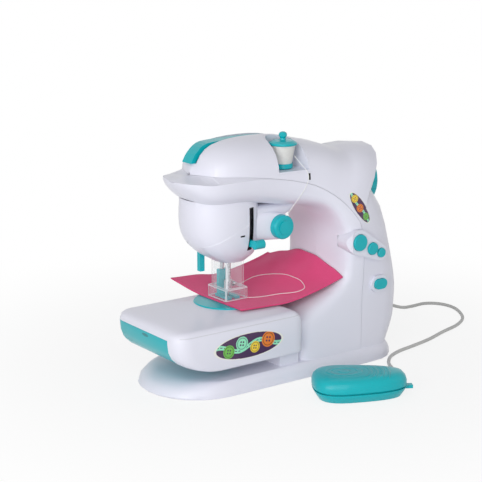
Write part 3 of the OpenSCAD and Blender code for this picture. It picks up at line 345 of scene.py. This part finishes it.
clear.bump(clear.noise(160.0, 2.0), PEEL, 0.2)
finish_of_slot["clear_plastic"] = clear
slot_of_node = {row["node"]: row["material_slot"] for row in frame["record"]["subparts"]}


def dress(name, fin):
    """Gives a piece of the frame its finish."""
    nodes[name].data.materials.clear()
    nodes[name].data.materials.append(fin.material)


for name in nodes:
    dress(name, finish_of_slot[slot_of_node[name]])
pedal_lead.data.materials.append(finish_of_slot["cord"].material)
print("dressed", len(nodes), "nodes")

# %% [markdown]
# The big shells come as loose triangles, so light breaks on every facet. Each shell is copied with its doubled
# corners joined, and its normals run smoothly over every edge flatter than 34 degrees. No point moves.

# %% Smooth shells
body_of_node = {n: body for body, members in frame["record"]["behaviour"]["bodies"].items() for n in members}


def smooth_shell(name, fin, flatter=34.0):
    """Copy of a node: equal points are joined (unique rows of the coordinates), faces keep their order."""
    source = nodes[name].data
    points = np.empty(len(source.vertices) * 3, np.float32)
    source.vertices.foreach_get("co", points)
    source.calc_loop_triangles()
    corners = np.empty(len(source.loop_triangles) * 3, np.int32)
    source.loop_triangles.foreach_get("vertices", corners)
    rows, joined = np.unique(np.round(points.reshape(-1, 3), 7), axis=0, return_inverse=True)
    faces = joined.ravel()[corners].reshape(-1, 3)
    keep = (faces[:, 0] != faces[:, 1]) & (faces[:, 1] != faces[:, 2]) & (faces[:, 0] != faces[:, 2])
    mesh = bpy.data.meshes.new("shell_" + name)
    mesh.from_pydata(rows.tolist(), [], faces[keep].tolist())
    mesh.shade_smooth()
    mesh.set_sharp_from_angle(angle=np.radians(flatter))
    mesh.update()
    mesh.materials.append(fin.material)
    piece = bpy.data.objects.new("shell_" + name, mesh)
    scene.collection.objects.link(piece)
    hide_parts(name)
    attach(piece, body_of_node[name])
    return piece


def within(value, centre, half, soft=0.0002):
    """1 where a value is within half of a centre, in metres, with a soft border."""
    return (value - centre).size().ease(half + soft, half - soft)


print("bodies of", len(body_of_node), "nodes known")

# %% [markdown]
# Some shells carry moulded features: a groove along the bed, a crease across the head, the take-up slot, a thread
# slit in the hood, screw wells at the rear. They are too fine to cut, so each is a mask in the shell's own
# coordinates.
# The crease and the groove lower the relief; the groove, the slot's mouth with the head's inside, the slit and the
# wells get painted shade, a darker tone where shade falls into them.

# %% Moulded marks and painted shade on the shells
def hood_slit_shade(fin):
    """Painted shade in the upright thread slit beside the spool well, on the front only."""
    x, y, z = fin.place()
    return within(x, 0.0382, 0.0011, 0.0001) * within(z, 0.1866, 0.0031, 0.0001) * y.ease(-0.020, -0.024)


def bed_groove_and_shade(fin):
    """A groove along the bed's front, just below its top: it lowers the relief and carries painted shade, a greyer
    line.
    """
    _, y, z = fin.place()
    return within(z, 0.0627, 0.00025) * y.ease(-0.050, -0.051)


def slot_painted_shade(fin):
    """Painted shade on the slot's border, the thread slit, and the inside of the head: points closer to the axis than
    a superellipse of exponent 2.5 that shrinks with the square of the depth below z = 143.4 mm, as the shell does."""
    x, y, z = fin.place()
    low = (0.1434 - z).maths("MAXIMUM", 0.1434 - z, 0.0) ** 2.0
    across = (x + 0.033 - low * 11.5).size() / (0.0353 - low * 13.5)
    along = (y - 0.014).size() / (0.0303 - low * 9.5)
    inside = (across ** 2.5 + along ** 2.5).ease(1.0, 0.97) * z.ease(0.119, 0.121) * within(x, -0.016, 0.010)
    lip = within(x, -0.0160, 0.0030) * within(z, 0.1405, 0.0205) * y.ease(0.0, -0.002)
    slit = within(x, -0.0270, 0.0026) * within(z, 0.1355, 0.0008) * y.ease(0.0, -0.002)
    shaded_part = lip + slit + inside
    return shaded_part.maths("MINIMUM", shaded_part, 1.0)


def head_crease(fin):
    """A low step along a bowed line: with t = (x + 54 mm) / 34 mm, z = 130 mm + 19.5 mm t - 4.5 mm t^2."""
    x, y, z = fin.place()
    t = (x + 0.054) / 0.034
    return (z - 0.130 - t * 0.0195 + t * t * 0.0045).ease(0.0011, -0.0011) * y.ease(0.006, 0.0)


def screw_well_shade(fin):
    """Painted shade in the screw wells: darker discs of 3.2 mm radius round four places (x, z) of the rear casing."""
    x, y, z = fin.place()
    well_shade = 0.0
    for cx, cz in ((-0.030, 0.178), (0.044, 0.166), (0.084, 0.105), (0.056, 0.040)):
        well_shade = ((x - cx) ** 2.0 + (z - cz) ** 2.0).root().ease(0.0034, 0.0030) + well_shade
    return well_shade * y.ease(0.030, 0.032)


# painted shade: the hood's thread slit is near black
hood_white = moulded("white_hood", WHITE, WHITE_LOW, shade_mask=hood_slit_shade, shade_colour=SHADE)
# painted shade: the bed's groove is a greyer line, besides its lowered relief
bed_white = moulded("white_bed", WHITE, WHITE_LOW, shade_mask=bed_groove_and_shade, shade_colour=(0.64, 0.64, 0.70),
                    relief=lambda fin: 1.0 - bed_groove_and_shade(fin), depth=0.3 * MM)
# painted shade: the take-up slot's mouth, its thread slit and the head's inside are near black
head_white = moulded("white_head", WHITE, WHITE_LOW, shade_mask=slot_painted_shade, shade_colour=SHADE, relief=head_crease,
                     depth=1.6 * MM)
# painted shade: the screw wells are darker grey discs
rear_white = moulded("white_rear", WHITE, WHITE_LOW, shade_mask=screw_well_shade, shade_colour=(0.30, 0.30, 0.33))
for name in ("front_casing", "base_pan", "tension_pod", "hood_well"):
    smooth_shell(name, white)
hood = smooth_shell("top_hood", hood_white)
smooth_shell("bed_shell", bed_white)
smooth_shell("head_shell", head_white)
smooth_shell("rear_casing", rear_white)
print("smooth shells with marks", hood.name)

# %% [markdown]
# The needle guard is clear styrene. Such a piece is seen by its edges, where light gathers; here that light is a
# painted
# highlight: its rims and corners are masks in its own coordinates that raise the opacity of the pale finish there.

# %% Clear guard with painted highlights
def guard_edge_glints(fin):
    """Painted highlight on the rims and corners. Rims are bands of height. Corners are where the distances from the
    middle, across plus along, come near the sum of the half widths, which is 5 mm larger in the wide foot."""
    x, y, z = fin.place((-0.022, 0.01475, 0.0))
    foot = z.ease(0.0814, 0.0812) * 0.005
    corners = (x.size() + y.size() - foot).ease(0.02135, 0.02195)
    edge_glints = corners + within(z, 0.0705, 0.0004) + within(z, 0.0808, 0.0006)
    return edge_glints.maths("MINIMUM", edge_glints, 1.0)


# painted highlight: opacity rises at the guard's rims and corners, so its pale finish shows there as glints
clear.set(Alpha=guard_edge_glints(clear) * 0.45 + 0.10)
print("guard edges on", clear.material.name)

# %% [markdown]
# Between the head and the dial the underside of the arm swells down to the tension pod. It is one rounded bar, a
# superellipse carried along x whose lower side rises to the arm at the right.

# %% Pod fairing
def fairing_grid(top=159.6, middle=1.0, half=11.0):
    """Rings along x from -5 to 40 mm: y = middle + half |cos f|^(2/3), z between the top and a lower side that is
    146 mm up to x = 24 mm and then climbs 13 mm with the power 2.2."""
    x = np.linspace(-5, 40, 46)[:, None]
    low = 146 + 13 * np.clip((x - 24) / 16, 0, 0.995) ** 2.2
    f = (2 * np.pi * np.arange(40) / 40)[None, :]
    c, d = (np.sign(w) * np.abs(w) ** (2 / 3) for w in (np.cos(f), np.sin(f)))
    y, z = middle + half * c, (top + low) / 2 + (top - low) / 2 * d
    return np.stack(np.broadcast_arrays(x, y, z), -1) * MM


fairing = grid_mesh("pod_fairing", fairing_grid()[:, ::-1], closed_v=True, caps=True)
fairing.data.materials.append(white.material)
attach(fairing, "machine")
print("fairing", len(fairing.data.vertices), "points")

# %% [markdown]
# The teal mouldings with relief: the drawer has a small finger recess, shown only by painted shade, the treadle
# raised ribs and an oval, the dial and wheel plain gloss. The thread on the spool is one winding beside another, a
# sine along the height.

# %% Teal relief and wound thread
def finger_recess_shade(fin):
    """Painted shade of a small finger recess: an oval under the drawer's upper edge."""
    _, y, z = fin.place()
    oval = ((y + 0.001) / 0.0055) ** 2.0 + ((z - 0.0552) / 0.0016) ** 2.0
    return oval.ease(1.0, 0.8)


def treadle_relief(fin):
    """In the pedal's own frame: ribs are arcs round a far point, the oval is a ring, both only on the top."""
    x, y, z = fin.place((0.029, -0.1185, 0.0), np.radians(-30.0))
    far = ((x + 0.014) ** 2.0 + y ** 2.0).root()
    ribs = (far * (2 * np.pi / 0.0056)).sine().ease(-0.2, 0.6) * within(far, 0.0310, 0.0105, 0.0008)
    ribs = ribs * x.ease(0.0, 0.004) * within(y, 0.0, 0.017, 0.002)
    ring = (((x + 0.014) / 0.0165) ** 2.0 + (y / 0.0120) ** 2.0).root()
    boss = (((x + 0.014) / 0.0060) ** 2.0 + (y / 0.0045) ** 2.0).root()
    return (ribs + within(ring, 0.85, 0.15, 0.06) + boss.ease(1.1, 0.7)) * z.ease(0.0185, 0.0200)


# painted shade: the drawer's finger recess is a darker teal oval
drawer_teal = moulded("teal_drawer", TEAL, TEAL_LOW, shade_mask=finger_recess_shade, shade_colour=(0.002, 0.22, 0.25))
treadle_teal = moulded("teal_treadle", TEAL, TEAL_LOW, relief=treadle_relief, depth=1.4 * MM)
smooth_shell("accessory_drawer", drawer_teal)
smooth_shell("pedal_top", treadle_teal)
smooth_shell("pedal_base", teal)
wound = Finish("wound_thread", Roughness=0.75)
wound.set(Base_Color=wound.mix(wound.noise(500.0, 3.0), (0.80, 0.80, 0.77), (0.88, 0.88, 0.86)))
WINDING = 0.7 * MM
wound.bump((wound.place()[2] * (2 * np.pi / WINDING)).sine() * 0.5 + 0.5, 0.3 * MM, 0.8)
dress("spool_thread", wound)
print("teal relief done")

# %% [markdown]
# The felt is a cut square, flat under the presser foot, climbing the foot of the column to the right. It is worked
# out as a height over a slanting grid, the same as its solid, with a soft ripple where it lies free. Felt has no
# weave: matted fibres in many tones, dull, with a light fuzz at grazing angles, which is sheen.

# %% Felt cloth
def felt_height(x, y):
    """Height of the felt's middle in millimetres: 14 mm ((x - 6) / 62)^1.6 to the right, swelling towards the middle
    depth, plus a small rise at the rear, plus ripples that grow with the rise."""
    swell = 1 + 0.9 * np.sin(np.radians(np.clip((y + 40) * 1.6, 0, 180)))
    rise = 14 * np.clip((x - 6) / 62, 0, None) ** 1.6 * swell
    rise = rise + 5.5 * np.clip((y - 34) / 55, 0, None) ** 1.5 * (0.8 - 0.2 * np.tanh(x / 8))
    ripple = 0.035 * rise * (np.sin(0.16 * x + 0.11 * y) + np.sin(0.09 * x - 0.21 * y + 1.0) + 2.0) / 2
    return 68.9 + rise + ripple


def felt_grid(count):
    """Points of the cut square: corner a plus shares of the edges to b and c, each at the felt's height."""
    i, j = np.meshgrid(np.linspace(0, 1, count), np.linspace(0, 1, count), indexing="ij")
    a, b, c = np.array([-36.0, -27.0]), np.array([-38.0, 89.0]), np.array([74.0, -40.0])
    x = a[0] + (b - a)[0] * j + (c - a)[0] * i
    y = a[1] + (b - a)[1] * j + (c - a)[1] * i
    return np.stack([x, y, felt_height(x, y)], -1) * MM


felt_cloth = grid_mesh("felt_cloth", felt_grid(90)[:, ::-1])
thick = felt_cloth.modifiers.new("thickness", "SOLIDIFY")
thick.thickness = 1.1 * MM
thick.offset = 0.0
felt = Finish("pink_felt", Roughness=0.95, Sheen_Weight=0.35, Sheen_Roughness=0.5, Sheen_Tint=(1.0, 0.55, 0.7, 1.0))
fibre = felt.noise(1400.0, 6.0, 0.75)
blotch = fibre * 0.6 + felt.noise(60.0, 3.0) * 0.4
felt.set(Base_Color=felt.mix(blotch, (0.64, 0.042, 0.150), (0.90, 0.090, 0.270)))
felt.bump(fibre, 0.4 * MM, 0.55)
felt_cloth.data.materials.append(felt.material)
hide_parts("sewing_cloth")
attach(felt_cloth, "machine")
print("felt", len(felt_cloth.data.vertices), "points")

# %% [markdown]
# Two thin white threads: one runs from the spool over the hood's edge and down the arm to the tension dial, the
# other comes out of the guard and lies on the felt in one open loop. Both are limp, 0.6 mm thick.

# %% Threads
THREAD_D = 0.6 * MM


def thread(name, route):
    """Thin tube along a smooth route in millimetres, of the length that is drawn."""
    path = curve_through(route * MM, 6)
    piece = tube(name, path, THREAD_D / 2, sides=8, side_of=(0.35, 0.9, 0.25))
    piece.data.materials.append(finish_of_slot["thread"].material)
    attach(piece, "machine")
    print(name, round(path_length(path), 3), "m")


top_route = np.array([
    [30.6, -18.6, 205.0], [32.2, -23.4, 200.0], [34.0, -28.2, 195.4], [35.4, -32.2, 191.4], [35.9, -33.4, 187.4],
    [35.2, -33.8, 183.0], [33.2, -33.5, 178.6], [31.2, -32.7, 174.4], [29.4, -31.0, 170.4], [27.6, -29.3, 166.6],
    [23.6, -27.0, 160.0], [20.0, -25.2, 154.4], [17.2, -23.6, 150.4]])
loop = np.array([
    [-8.4, 2.4], [-2.6, -1.0], [4.4, -3.5], [13.2, -6.8], [20.7, -12.5], [26.3, -19.2], [32.3, -23.9], [38.9, -24.7],
    [42.5, -20.1], [44.8, -11.1], [44.8, -1.7], [43.7, 10.2], [40.5, 24.5], [35.1, 37.4], [28.9, 43.4], [20.6, 44.2],
    [13.0, 43.0]])
tail_route = np.column_stack([loop, felt_height(loop[:, 0], loop[:, 1]) + 0.95])
thread("top_thread", top_route)
thread("tail_thread", tail_route)

# %% [markdown]
# Stickers dress the bed's front and the column. Their art is drawn with numpy as a colour for every point of a
# fine grid: discs are distances to a centre, bands are distances to a sine, dashes are the fraction of a length.
# A square grid is bent to an oval by u sqrt(1 - v^2 / 2), v sqrt(1 - u^2 / 2), which keeps the points even.

# %% Stickers
PLUM, MINT, ORANGE = (0.060, 0.014, 0.075), (0.30, 0.78, 0.52), (0.80, 0.21, 0.02)
YELLOW, LEAF, CREAM = (0.88, 0.62, 0.05), (0.16, 0.50, 0.07), (0.85, 0.84, 0.80)


def oval_grid(columns, rows, half_w, half_h):
    """Oval of the given half sizes in millimetres, as a grid of flat places (across, up)."""
    v, u = np.meshgrid(np.linspace(-1, 1, rows), np.linspace(-1, 1, columns), indexing="ij")
    return half_w * u * np.sqrt(1 - v**2 / 2) * 1.15, half_h * v * np.sqrt(1 - u**2 / 2) * 1.15


def paint(colour, mask, over):
    """Lays one colour over the points of a mask."""
    colour[mask] = over


def button_art(colour, u, v, cu, cv, r, tone):
    """A sewing button: disc, darker rim line and four holes at a third of the radius."""
    far = np.hypot(u - cu, v - cv)
    paint(colour, far < r, tone)
    paint(colour, np.abs(far - 0.78 * r) < 0.06 * r, np.array(tone) * 0.45)
    for turn in np.arange(4) * np.pi / 2 + 0.6:
        hole = np.hypot(u - cu - 0.3 * r * np.cos(turn), v - cv - 0.3 * r * np.sin(turn))
        paint(colour, hole < 0.13 * r, PLUM)


def stitched_art(u, v, half_w, half_h, wave, turns, buttons):
    """Plum ground with a pale edge line, a mint ribbon along a sine, dashes on it, and buttons."""
    colour = np.empty((*u.shape, 3))
    colour[:] = PLUM
    edge = (u / half_w) ** 2 + (v / half_h) ** 2
    middle = wave * np.sin(2 * np.pi * turns * u / (2 * half_w))
    paint(colour, np.abs(v - middle) < 0.20 * half_h, MINT)
    dash = (np.abs(v - middle) < 0.035 * half_h) & (np.mod(u, 4.0) < 2.4)
    paint(colour, dash, PLUM)
    for cu, cv, r, tone in buttons:
        button_art(colour, u, v, cu, cv, r, tone)
    paint(colour, edge > 1.16, CREAM)
    return colour


def sticker(name, u, v, colour, lay_out):
    """Grid piece with its colours as a point attribute; lay_out turns flat places into points."""
    piece = grid_mesh(name, lay_out(u, v))
    art = piece.data.color_attributes.new("art", "FLOAT_COLOR", "POINT")
    opaque = np.concatenate([colour, np.ones((*u.shape, 1))], -1)
    art.data.foreach_set("color", opaque.astype(np.float32).ravel())
    fin = Finish(name + "_print", Roughness=0.3, Coat_Weight=0.2)
    fin.set(Base_Color=fin.node("ShaderNodeVertexColor", {"layer_name": "art"}))
    fin.bump(fin.noise(500.0, 2.0), PEEL, 0.2)
    piece.data.materials.append(fin.material)
    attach(piece, "machine")
    return piece


BED_HALF, HOOD_HALF = (34.0, 10.4), (16.5, 5.4)
u, v = oval_grid(260, 110, *BED_HALF)
bed_art = stitched_art(u, v, *BED_HALF, 3.4, 1.5, (
    (-22.5, -2.2, 6.2, LEAF), (-8.0, 3.0, 6.6, MINT), (6.5, -2.6, 5.4, YELLOW), (21.5, 2.0, 7.4, ORANGE)))
bed_sticker = sticker("bed_sticker", u, v, bed_art, lambda a, b: np.stack(
    [(a - 48.0) * MM, np.full(a.shape, -55.15 * MM), (b + 45.0) * MM], -1))
tilt = np.radians(-56.0)
u, v = oval_grid(200, 90, *HOOD_HALF)
hood_art = stitched_art(u, v, *HOOD_HALF, 0.9, 1.0, (
    (-11.0, 0.3, 3.8, YELLOW), (0.0, -0.4, 4.0, ORANGE), (11.0, 0.2, 3.6, LEAF)))
hood_sticker = sticker("hood_sticker", u, v, hood_art, lambda a, b: np.stack(
    [(91.2 + a * np.cos(tilt) - b * np.sin(tilt)) * MM, np.full(a.shape, -60.0 * MM),
     (152.0 + a * np.sin(tilt) + b * np.cos(tilt)) * MM], -1))
wrap = hood_sticker.modifiers.new("lay_on_hood", "SHRINKWRAP")
wrap.target = hood
wrap.wrap_method = "PROJECT"
wrap.use_project_y = True
wrap.use_negative_direction = True
wrap.use_positive_direction = True
wrap.wrap_mode = "ABOVE_SURFACE"
wrap.offset = 0.15 * MM
bpy.context.view_layer.update()
laid = bpy.data.meshes.new_from_object(hood_sticker.evaluated_get(bpy.context.evaluated_depsgraph_get()))
hood_sticker.modifiers.clear()
hood_sticker.data = laid
print("stickers", len(bed_sticker.data.vertices), len(hood_sticker.data.vertices))

# %% [markdown]
# The stage is a wide pale floor under a white sky. The photograph's ground is pure white, so most of what the camera,
# mirror reflections and clear pieces see of the floor is its own light; a share of shading, larger near the object,
# takes the shadow. The sky is white for the same rays and dimmer for the light that it sheds. Four soft boxes add the
# direction: a strong one at the left, weak ones at the right, low at the left and behind.

# %% Floor, light and world
SKY_LIGHT = 0.37
SEEN_RAYS = ("Is Camera Ray", "Is Glossy Ray", "Is Transmission Ray")
floor = grid_mesh("studio_floor", np.array([[[x, y, -0.0006] for x in (-6.0, 6.0)] for y in (6.0, -6.0)]))
ground = Finish("studio_white", Base_Color=(0.9, 0.9, 0.9), Roughness=0.9)
x, y, _ = ground.place((0.05, 0.0, 0.0))
rays = ground.node("ShaderNodeLightPath", {}).socket.node
seen = sum(Value(ground, rays.outputs[ray]) for ray in SEEN_RAYS)
paper = ground.node("ShaderNodeEmission", {}, (1.0, 1.0, 1.0, 1.0), 1.0)
own = ((x ** 2.0 + y ** 2.0).root().ease(0.10, 0.50) * 0.18 + 0.82) * seen.maths("MINIMUM", seen, 1.0)
blend = ground.node("ShaderNodeMixShader", {}, own, Value(ground, ground.shader.outputs[0]), paper)
ground.tree.links.new(blend.socket, ground.tree.nodes["Material Output"].inputs[0])
floor.data.materials.append(ground.material)
world = bpy.data.worlds.new("studio_world")
scene.world = world
world.use_nodes = True
sky = world.node_tree.nodes["Background"]
rays = world.node_tree.nodes.new("ShaderNodeLightPath")
level = world.node_tree.nodes.new("ShaderNodeMapRange")
level.inputs[3].default_value = SKY_LIGHT
level.inputs[4].default_value = 1.0
link = None
for ray in SEEN_RAYS:
    total = world.node_tree.nodes.new("ShaderNodeMath")
    total.operation = "ADD"
    total.inputs[0].default_value = 0.0
    if link:
        world.node_tree.links.new(link, total.inputs[0])
    world.node_tree.links.new(rays.outputs[ray], total.inputs[1])
    link = total.outputs[0]
world.node_tree.links.new(link, level.inputs[0])
world.node_tree.links.new(level.outputs[0], sky.inputs["Strength"])
sky.inputs["Color"].default_value = (1.0, 1.0, 1.0, 1.0)


def softbox(name, place, aim, size, power):
    """Square area lamp at a place, turned so that its -Z looks at the aim."""
    lamp = bpy.data.lights.new(name, "AREA")
    lamp.size = size
    lamp.energy = power
    out = np.array(place, float) - np.array(aim, float)
    out /= np.linalg.norm(out)
    side = np.cross((0.0, 0.0, 1.0), out)
    side /= np.linalg.norm(side)
    box = bpy.data.objects.new(name, lamp)
    box.matrix_world = placed(side, np.cross(out, side), out, place)
    scene.collection.objects.link(box)


softbox("key_left", (-1.0, -1.2, 0.7), (0, 0, 0.1), 1.5, 12.5)
softbox("fill_right", (1.3, -0.9, 0.6), (0, 0, 0.1), 1.4, 1.6)
softbox("low_left", (-1.3, -0.5, 0.3), (-0.1, 0, 0.03), 0.8, 5.5)
softbox("top_rear", (0.1, 0.7, 1.4), (0, 0, 0.1), 1.4, 1.2)
print("lamps", len(bpy.data.lights))
